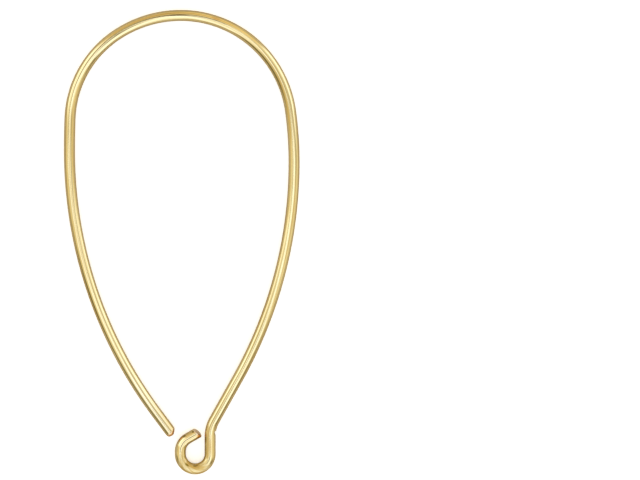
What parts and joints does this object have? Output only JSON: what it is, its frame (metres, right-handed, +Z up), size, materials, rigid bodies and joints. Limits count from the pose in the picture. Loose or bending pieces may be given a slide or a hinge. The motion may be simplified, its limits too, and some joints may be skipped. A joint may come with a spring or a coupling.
{
  "type": "ear wire",
  "caption": "Ear wire bent from round wire: a long teardrop hoop that hangs in a pierced ear, with a small turned eye at its foot that carries a drop.",
  "frame": {"origin": "the middle of the hoop's width and height, on the surface that the ear wire lies on", "axes": "+X across the hoop towards the side with the neck, +Y from the eye up to the crown, +Z up, out of the plane that the wire is bent in"},
  "size_m": [0.0175, 0.0344, 0.0008],
  "materials": {
    "gold_wire": "polished gold-filled wire with fine drawn lines along it"
  },
  "bodies": {
    "root": {"ear_wire": "gold_wire"}
  },
  "joints": []
}
